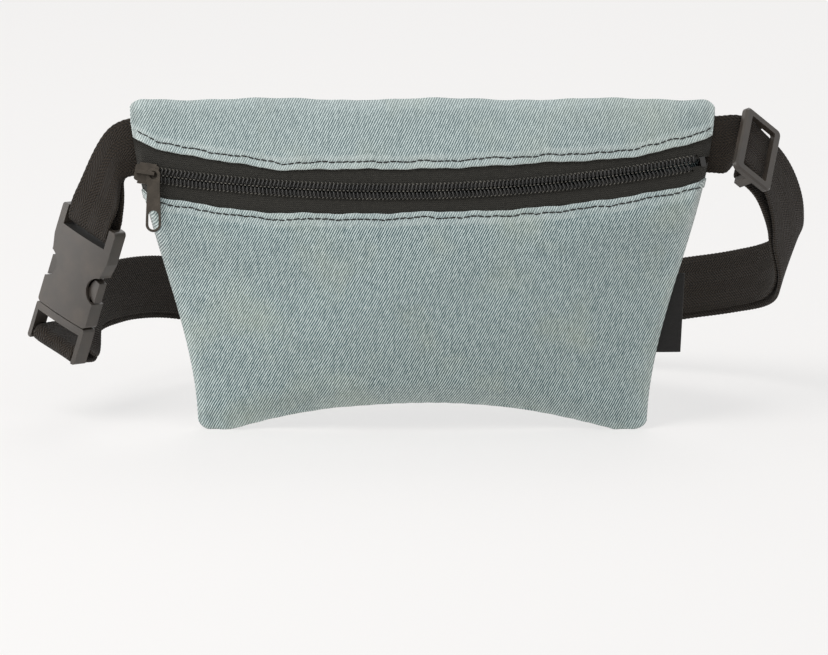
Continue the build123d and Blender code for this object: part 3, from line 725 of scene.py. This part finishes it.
# The coils' sewing rows, in millimetres across and up, with their lean.
sewingRows = (("Upper", 3.2, 2.05, -0.30), ("Middle", 0.1, 2.62, 0.0), ("Lower", -3.2, 1.95, 0.25))
for name, t, h, lean in sewingRows:
    makeStitches(f"coilStitch{name}", t * mm, h * mm, coilStitch, lean * mm)
print("zipper made")


# ---- webbing straps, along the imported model's routes
strap = {
    "width": 25.4 * mm, "thick": 1.6 * mm, "gap": 0.5 * mm, "step": 0.6 * mm,
    "foldRoom": 0.4 * mm, "bar": 3.6 * mm, "rod": 2.4 * mm, "rounding": 3.0 * mm,
    "turnPoints": 18, "edgePoints": 7, "facePoints": 11, "edgePower": 6,
    "ruffle": 0.008, "rufflePitch": 0.0021, "waveLengths": (0.042, 0.019), "calmReach": 0.012,
    "curlLength": 0.026, "curlHeight": 0.35 * mm,
}
layerMiddle = (strap["thick"] + strap["gap"]) / 2
barFold = strap["bar"] / 2 + strap["foldRoom"] + strap["thick"] / 2
rodFold = strap["rod"] / 2 + strap["foldRoom"] + strap["thick"] / 2
down = np.array([0.0, 0.0, -1.0])


# A place in millimetres from the pouch's middle, at its seams and on the floor.
def place(x, y, z):
    return np.array([x * mm + pouch["x"], y * mm + pouch["y"], z * mm])


# Buckle's own directions: down it, out of its face, and across it.
buckleTop = place(-143.7, 6, 91.4)
buckleDown = unit(np.array([-0.273, 0.160, -0.949]))
buckleFace = unit(np.cross(buckleDown, np.array([0.691, -0.6735, -0.2627])))
buckleAcross = np.cross(buckleFace, buckleDown)
insertBar = buckleTop + buckleDown * 59.3 * mm
# Tri-glide's own directions: along the belt, out of its face, and across it.
glideRun = unit(np.array([0.66, 0.42, -0.62]))
glideFace = unit(np.cross(np.array([-0.17, -0.72, -0.67]), glideRun))
glideAcross = -np.cross(glideFace, glideRun)
glideMiddle = place(144.2, 6.0, 122.8)
rodMiddle = glideMiddle - glideFace * (strap["thick"] + strap["gap"] + rodFold)


# Smooth curve through values at stations: cubic pieces that share the slope at each station.
def spline(values, at, s):
    slope = np.gradient(values, at, axis=0)
    slope[0] = (values[1] - values[0]) / (at[1] - at[0])
    slope[-1] = (values[-1] - values[-2]) / (at[-1] - at[-2])
    i = np.clip(np.searchsorted(at, s, side="right") - 1, 0, len(at) - 2)
    span = (at[i + 1] - at[i])[:, None]
    u = ((s - at[i]) / (at[i + 1] - at[i]))[:, None]
    early = (2 * u ** 3 - 3 * u ** 2 + 1) * values[i] + (u ** 3 - 2 * u ** 2 + u) * span * slope[i]
    late = (3 * u ** 2 - 2 * u ** 3) * values[i + 1] + (u ** 3 - u ** 2) * span * slope[i + 1]
    return early + late


# Rounds a line's kinks with a Gaussian average that keeps its ends.
def rounded(values, sigma):
    reach = int(4 * sigma / strap["step"])
    weights = np.exp(-0.5 * (np.arange(-reach, reach + 1) * strap["step"] / sigma) ** 2)
    weights /= weights.sum()
    wide = np.pad(values, ((reach, reach), (0, 0)), mode="reflect", reflect_type="odd")
    return np.stack([np.convolve(column, weights, mode="valid") for column in wide.T], -1)


# Middle line, width direction and spread of a route, every step along it.
def routeLine(stations, sigma):
    centres = np.array([station[0] for station in stations])
    widths = unit(np.array([station[1] for station in stations], float))
    spreads = np.array([[station[2]] for station in stations])
    at = lengthAlong(centres)
    s = np.linspace(0, at[-1], int(at[-1] / strap["step"]) + 1)
    line = rounded(spline(centres, at, s), sigma)
    width = unit(rounded(spline(widths, at, s), sigma))
    return line, width, spline(spreads, at, s)


# One layer of the strap: its middle, moved off the route towards one side by the spread.
def layer(line, width, spread, side):
    off = unit(np.cross(np.gradient(line, axis=0), width))
    return line + off * spread * side


# Half turn round a bar: half a circle, drawn out by its slack.
def halfTurn(bar, away, across, radius, slack=0.0):
    angle = np.linspace(0, np.pi, strap["turnPoints"])[1:-1, None]
    off = np.cross(away, across)
    return bar - off * np.cos(angle) * radius + away * np.sin(angle) * (radius + slack)


# Width directions of a strap that goes out, turns round a bar and comes back.
def widthsRound(out, across, turn, back):
    return np.concatenate([out, np.repeat(across[None], len(turn), 0), back])


# Strap swept along its middle line: a flat section with rounded, slightly ruffled edges.
# Soft waves lift its middle, and another curls its edges. Both fade towards its ends.
def makeStrap(name, line, width, body, replaced, flutter=0.25, seed=5, blendTo=None):
    along = lengthAlong(line)
    off = unit(np.cross(unit(np.gradient(line, axis=0)), width))
    half, thick = strap["width"] / 2, strap["thick"] / 2
    faces, run = strap["facePoints"], along[:, None]
    edge = np.linspace(-np.pi / 2, np.pi / 2, strap["edgePoints"])
    flatRow = np.linspace(-1, 1, faces + 2)[1:-1] * (half - thick)
    side = half - thick + thick * np.cos(edge)
    w = np.concatenate([side, flatRow[::-1], -side, flatRow])
    upper = np.concatenate([thick * np.sin(edge), np.full(faces, thick)])
    h = np.concatenate([upper, -upper])
    isEdge = (np.abs(w) / half) ** strap["edgePower"]
    ruffle = 1 + strap["ruffle"] * np.sin(along * 2 * np.pi / strap["rufflePitch"])[:, None] * isEdge
    wave = waves(run, w * 0.6, strap["waveLengths"], (flutter * mm, flutter * 0.4 * mm), seed)
    calm = smooth(np.minimum(along, along[-1] - along) / strap["calmReach"])[:, None]
    curlShape = ((strap["curlLength"],), (strap["curlHeight"],), seed + 3)
    curl = waves(run * np.ones_like(w), np.sign(w) * 0.01, *curlShape)
    points = (
        line[:, None] + width[:, None] * (w * ruffle)[..., None]
        + off[:, None] * (h + (wave + curl * isEdge) * calm)[..., None]
    )
    uv = np.stack(np.broadcast_arrays(run, w), -1)
    start = np.repeat(points[:1].mean(1)[:, None], len(w), 1)
    end = np.repeat(points[-1:].mean(1)[:, None], len(w), 1)
    points = np.concatenate([start, points, end])
    uv = np.concatenate([uv[:1], uv, uv[-1:]])
    piece = gridMesh(name, points, uv, closedColumns=True)
    piece.data.materials.append(strapCloth)
    if blendTo:
        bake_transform(piece)
    else:
        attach(piece, body)
    if replaced:
        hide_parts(replaced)


# Strap that follows one route out, turns round the bar at its end and comes back.
def foldedStrap(name, route, sigma, turn, body, replaced, **style):
    line, width, spread = routeLine(route, sigma)
    outer, back = layer(line, width, spread, -1), layer(line, width, spread, 1)
    middles = np.concatenate([outer, turn, back[::-1]])
    makeStrap(name, middles, widthsRound(width, route[-1][1], turn, width[::-1]), body, replaced, **style)


# A route's stations: place, direction of the strap's width, and spread of its layers.
leftRoute = [
    (place(-121.5, 1.1, 125.5), down, 0.45 * mm),
    (place(-128.6, 2.2, 125.5), down, layerMiddle),
    (place(-132.5, 2.8, 123.5), (0.12, -0.15, -0.98), layerMiddle),
    (place(-136.5, 4.0, 115.0), (0.40, -0.42, -0.82), 1.3 * mm),
    (place(-140.0, 5.2, 103.0), (0.62, -0.60, -0.48), 2.0 * mm),
    (buckleTop - buckleDown * 5 * mm, buckleAcross, barFold),
    (buckleTop, buckleAcross, barFold),
]
turn = halfTurn(buckleTop, buckleDown, buckleAcross, barFold, slack=1.6 * mm)
foldedStrap("leftStrap", leftRoute, strap["rounding"], turn, "bag", "left_webbing", seed=9)

earRoute = [
    (place(120.5, 1.0, 127.0), down, 0),
    (place(129.2, 0, 127.0), down, 0),
    (place(133.0, 0.6, 126.6), (-0.03, -0.25, -0.96), 0),
    (glideMiddle - glideRun * 10 * mm, glideAcross, 0),
    (glideMiddle + glideRun * 8 * mm, glideAcross, 0),
]
loopRoute = [(place(*middle), width, layerMiddle) for middle, width in (
    ((156.5, 21, 103.0), (-0.40, -0.66, -0.60)), ((160.0, 36, 82.0), (-0.50, -0.60, -0.55)),
    ((160.5, 51, 65.5), (-0.30, -0.45, -0.80)), ((153.5, 67, 54.5), (-0.08, -0.15, -0.98)),
    ((138.0, 84, 47.0), down), ((115.0, 101, 40.0), down), ((82.0, 119, 30.0), down),
    ((42.0, 131, 18.5), down), ((0.0, 135, 12.7), down), ((-42.0, 131, 18.5), down),
    ((-82.0, 117, 31.0), down), ((-112.0, 95, 42.0), down),
    ((-132.0, 70, 46.0), (0.05, -0.05, -0.99)), ((-146.0, 48, 45.0), (0.30, -0.30, -0.88)),
)] + [
    (insertBar - buckleFace * 12 * mm, (0.60, -0.58, -0.52), 1.7 * mm),
    (insertBar - buckleFace * 4 * mm, buckleAcross, barFold),
    (insertBar, buckleAcross, barFold),
]
# The return layer lies a little higher than the outer one. Its first stretch, the lead, is a piece of its
# own that starts at the tri-glide's rod.
rise = {"height": 3.0 * mm, "endStart": 0.012, "endReach": 0.03, "floorStart": 0.016, "floorReach": 0.010}
cut = int(0.075 / strap["step"])
lead = {"start": int(0.016 / strap["step"]), "stride": 12, "stop": 8, "last": (-4, 2), "blendFrom": 14}
line, width, spread = routeLine(earRoute + loopRoute, strap["rounding"])
backLine, backWidth, backSpread = routeLine(loopRoute, strap["rounding"])
outer, back = layer(line, width, spread, -1), layer(backLine, backWidth, backSpread, 1)
fromEnds = np.minimum(np.arange(len(back)), np.arange(len(back))[::-1]) * strap["step"]
raised = smooth((fromEnds - rise["endStart"]) / rise["endReach"])
raised = raised * smooth((back[:, 2] - rise["floorStart"]) / rise["floorReach"]) * rise["height"]
back = back - down * raised[:, None]
turn = halfTurn(insertBar, buckleFace, buckleAcross, barFold)
makeStrap(
    "waistBelt", np.concatenate([outer, turn, back[:cut:-1]]),
    widthsRound(width, buckleAcross, turn, backWidth[:cut:-1]), "bag", "belt_webbing", seed=2,
    blendTo=("insert", tuple(place(-118, 92, 43)), tuple(insertBar - buckleFace * 3 * mm)),
)
rearLayer = rodMiddle - glideFace * rodFold
picked = np.arange(lead["start"], cut - lead["stop"], lead["stride"])
picked = np.append(picked, [cut + offset for offset in lead["last"]])
leadPoints = np.concatenate([[rearLayer + glideRun * 1.5 * mm, rearLayer + glideRun * 7 * mm], back[picked]])
leadWidths = unit(np.concatenate([np.repeat(glideAcross[None], 2, 0), backWidth[picked]]))
at = lengthAlong(leadPoints)
s = np.linspace(0, at[-1], int(at[-1] / strap["step"]))
makeStrap(
    "beltLead", spline(leadPoints, at, s), unit(spline(leadWidths, at, s)), "bag", None,
    seed=4, flutter=0.1, blendTo=("glide", tuple(back[cut]), tuple(back[lead["blendFrom"]])),
)

tailRoute = [(rodMiddle + glideRun * 1.5 * mm, glideAcross, rodFold), (rodMiddle, glideAcross, rodFold)]
turn = halfTurn(rodMiddle, -glideRun, glideAcross, rodFold)
foldedStrap("beltTail", tailRoute, strap["step"], turn, "glide", "belt_tail", flutter=0.0)
print("straps made")


# ---- side label: a folded loop of satin tape in the right side seam, left bare
label = {
    "low": 34.5 * mm, "high": 69.5 * mm, "middle": 0.052, "out": 7.5 * mm, "inset": 0.0012, "slope": 0.05,
    "thick": 0.5 * mm, "half": 0.75 * mm, "rows": 36, "leafPoints": 14, "foldPoints": 5,
    "sagLength": 0.03, "sagHeight": 0.35 * mm, "lean": 0.0006,
}


# Two leaves of tape that run out of the seam, following its slope, and meet in a soft fold.
def makeLabel():
    z = np.linspace(label["low"], label["high"], label["rows"])[:, None]
    seam = pouch["x"] + halfWidth(z) - label["inset"]
    reach = pouch["x"] + halfWidth(label["middle"]) + label["out"]
    reach = reach + (z - label["middle"]) * label["slope"] - label["inset"]
    leaf, half = label["leafPoints"], label["half"]
    u = np.linspace(0, 1, leaf)
    bend = np.linspace(-np.pi / 2, np.pi / 2, label["foldPoints"] + 2)[1:-1]
    share = np.concatenate([u, np.ones(label["foldPoints"]), u[::-1]])
    leafSwell = half * np.sin(np.pi * (0.15 + 0.35 * u))
    swell = np.concatenate([-leafSwell, half * np.sin(bend), leafSwell[::-1]])
    fold = np.concatenate([np.zeros(leaf), 0.5 * half * np.cos(bend), np.zeros(leaf)])
    x = seam + (reach - seam) * share + fold
    sag = waves(z, x, (label["sagLength"],), (label["sagHeight"],), 6) * share
    y = pouch["y"] + swell + sag + label["lean"] * share
    points = np.stack([x, np.broadcast_to(y, x.shape), np.broadcast_to(z, x.shape)], -1)
    uv = np.stack(np.broadcast_arrays(lengthAlong(points[0]), z), -1)
    piece = thicken(gridMesh("sideLabel", points, uv), label["thick"], 0.0)
    dress(piece, labelCloth, "bag", ["side_label"])


makeLabel()


# ---- moulded plastic and metal
softening = {"merge": 0.000005, "flat": 0.01, "segments": 3, "sharp": math.radians(28)}


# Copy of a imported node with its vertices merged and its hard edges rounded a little. A share below
# one draws it in about its middle.
def bevelCopy(node, name, body, material, width, share=1):
    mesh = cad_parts[node].data.copy()
    mesh.name = name
    tool = bmesh.new()
    tool.from_mesh(mesh)
    bmesh.ops.remove_doubles(tool, verts=tool.verts, dist=softening["merge"])
    bmesh.ops.dissolve_limit(
        tool, angle_limit=softening["flat"], verts=tool.verts, edges=tool.edges, delimit={"NORMAL"}
    )
    tool.to_mesh(mesh)
    tool.free()
    mesh.materials.clear()
    if "custom_normal" in mesh.attributes:
        mesh.attributes.remove(mesh.attributes["custom_normal"])
    mesh.polygons.foreach_set("use_smooth", np.ones(len(mesh.polygons), bool))
    piece = bpy.data.objects.new(name, mesh)
    scene.collection.objects.link(piece)
    bevel = piece.modifiers.new("softEdges", "BEVEL")
    bevel.width = width
    bevel.segments = softening["segments"]
    bevel.limit_method = "ANGLE"
    bevel.angle_limit = softening["sharp"]
    bevel.harden_normals = True
    points = np.empty(len(mesh.vertices) * 3, np.float32)
    mesh.vertices.foreach_get("co", points)
    centre = np.mean(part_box(node), 0)
    points = (points.reshape(-1, 3) - centre) * share + centre
    mesh.vertices.foreach_set("co", points.astype(np.float32).ravel())
    return dress(piece, material, body, [node])


# The webbing slot, across the buckle and down it from the housing's bar.
slotWalls = {"half": 13.4 * mm, "from": 1.5 * mm, "to": 9.6 * mm, "wallSlope": 0.6}


# The plastic inside the webbing slot is matt: its walls keep the mould's spark marks. They are also painted
# much darker than the buckle's plastic, as painted shade in the recess.
def mattShadedSlot(piece):
    mesh = piece.data
    mesh.materials.append(mattShadedAcetal)
    count = len(mesh.polygons)
    middles, normals = np.empty(count * 3), np.empty(count * 3)
    mesh.polygons.foreach_get("center", middles)
    mesh.polygons.foreach_get("normal", normals)
    offset = middles.reshape(-1, 3) - buckleTop
    across, along = np.abs(offset @ buckleAcross), offset @ buckleDown
    inSlot = (across < slotWalls["half"]) & (along > slotWalls["from"]) & (along < slotWalls["to"])
    wall = inSlot & (np.abs(normals.reshape(-1, 3) @ buckleFace) < slotWalls["wallSlope"])
    mesh.polygons.foreach_set("material_index", wall.astype(np.int32))


# Node, piece, body, and width of the rounding in millimetres.
plasticParts = [
    ("buckle_housing", "buckleHousing", "bag", 0.9), ("buckle_insert", "buckleInsert", "insert", 0.6),
    ("left_prong", "leftProng", "prong_l", 0.4), ("right_prong", "rightProng", "prong_r", 0.4),
    ("tri_glide", "triGlide", "glide", 0.7),
]
for node, name, body, width in plasticParts:
    piece = bevelCopy(node, name, body, bucklePlasticPaintedHighlight, width * mm)
    if name == "buckleHousing":
        mattShadedSlot(piece)
bevelCopy("zipper_slider", "zipSlider", "slider", blackNickel, 0.25 * mm)
bevelCopy("slider_pull", "sliderPull", "pull", blackNickel, 0.22 * mm)
bevelCopy("zipper_end_stop", "endStop", "bag", coilPlastic, 0.3 * mm, 0.62)
print("hardware made")


# ---- floor, backdrop, light and camera
studio = {
    "worldColour": "#f4f4f6", "worldStrength": 0.55, "paper": "#f3efeb", "white": "#f8f8f8",
    "whiteShare": 0.62,  # share of the paper seen as plain white; the rest is lit paper and shadow
    "floorHalf": 6.0, "floorFront": -4.0, "floorBack": 9.0, "aim": (0, -0.03, 0.07),
    "lamps": [
        ("keyLight", (-0.9, -1.0, 1.7), 1.1, 18.0), ("fillLight", (1.3, -1.2, 0.9), 1.2, 3.5),
        ("leftSoftbox", (-1.2, -0.15, 0.30), 0.8, 6.0), ("rimLight", (0.2, 1.2, 1.5), 1.2, 7.0),
    ],
}
# A long lens far off that looks down at the object. The frame's width is measured at the target.
shot = {
    "sensor": 36, "frameWidth": 0.36225, "distance": 6.0, "elevation": math.radians(12), "clipEnd": 60,
    "target": (-0.00072, -0.0561, 0.0454),
}


# One for a ray from the camera, or from gloss or glass that mirrors the room.
def seenOrMirrored(tree):
    ray = addNode(tree, "LightPath").outputs
    either = maths(tree, "MAXIMUM", ray["Is Camera Ray"], ray["Is Glossy Ray"])
    return maths(tree, "MAXIMUM", either, ray["Is Transmission Ray"])


# Pale studio paper. The camera, gloss and glass see it as mostly white. Everything else sees plain
# paper that keeps the object's shadow.
def paperMaterial():
    material, tree, shader = newMaterial("studioPaper", {
        "Base Color": linear(studio["paper"]), "Roughness": 0.9, "Specular IOR Level": 0.1,
    })
    white = addNode(tree, "Emission", {0: linear(studio["white"]), 1: 1.0}).outputs[0]
    share = maths(tree, "MULTIPLY", seenOrMirrored(tree), studio["whiteShare"])
    mixed = addNode(tree, "MixShader", {0: share, 1: shader.outputs[0], 2: white})
    tree.links.new(mixed.outputs[0], tree.nodes["Material Output"].inputs[0])
    return material


half, near, far = studio["floorHalf"], studio["floorFront"], studio["floorBack"]
points = np.array([[[-half, near, 0], [half, near, 0]], [[-half, far, 0], [half, far, 0]]])
floor = gridMesh("studioFloor", points)
floor.data.materials.append(paperMaterial())

world = bpy.data.worlds.new("studio")
scene.world = world
world.use_nodes = True
tree = world.node_tree
lit = tree.nodes["Background"]
lit.inputs[0].default_value = linear(studio["worldColour"])
lit.inputs[1].default_value = studio["worldStrength"]
seen = addNode(tree, "Background", {0: linear(studio["white"]), 1: 1.0}).outputs[0]
choice = addNode(tree, "MixShader", {0: seenOrMirrored(tree), 1: lit.outputs[0], 2: seen})
tree.links.new(choice.outputs[0], tree.nodes["World Output"].inputs[0])

# Soft square lamps, in metres and watts, aimed at the middle of the object.
for name, location, size, power in studio["lamps"]:
    light = bpy.data.lights.new(name, "AREA")
    light.size = size
    light.energy = power
    lamp = bpy.data.objects.new(name, light)
    lamp.location = location
    aim = Vector(studio["aim"]) - lamp.location
    lamp.rotation_euler = aim.to_track_quat("-Z", "Y").to_euler()
    scene.collection.objects.link(lamp)

lens = bpy.data.cameras.new("photoCamera")
lens.sensor_width = shot["sensor"]
distance, elevation = shot["distance"], shot["elevation"]
lens.lens = shot["sensor"] * distance / shot["frameWidth"]
lens.clip_end = shot["clipEnd"]
camera = bpy.data.objects.new("photoCamera", lens)
target = Vector(shot["target"])
camera.location = target + Vector((0, -math.cos(elevation), math.sin(elevation))) * distance
camera.rotation_euler = (target - camera.location).to_track_quat("-Z", "Y").to_euler()
scene.collection.objects.link(camera)
scene.camera = camera
scene.view_settings.view_transform = "Standard"
print("staged")
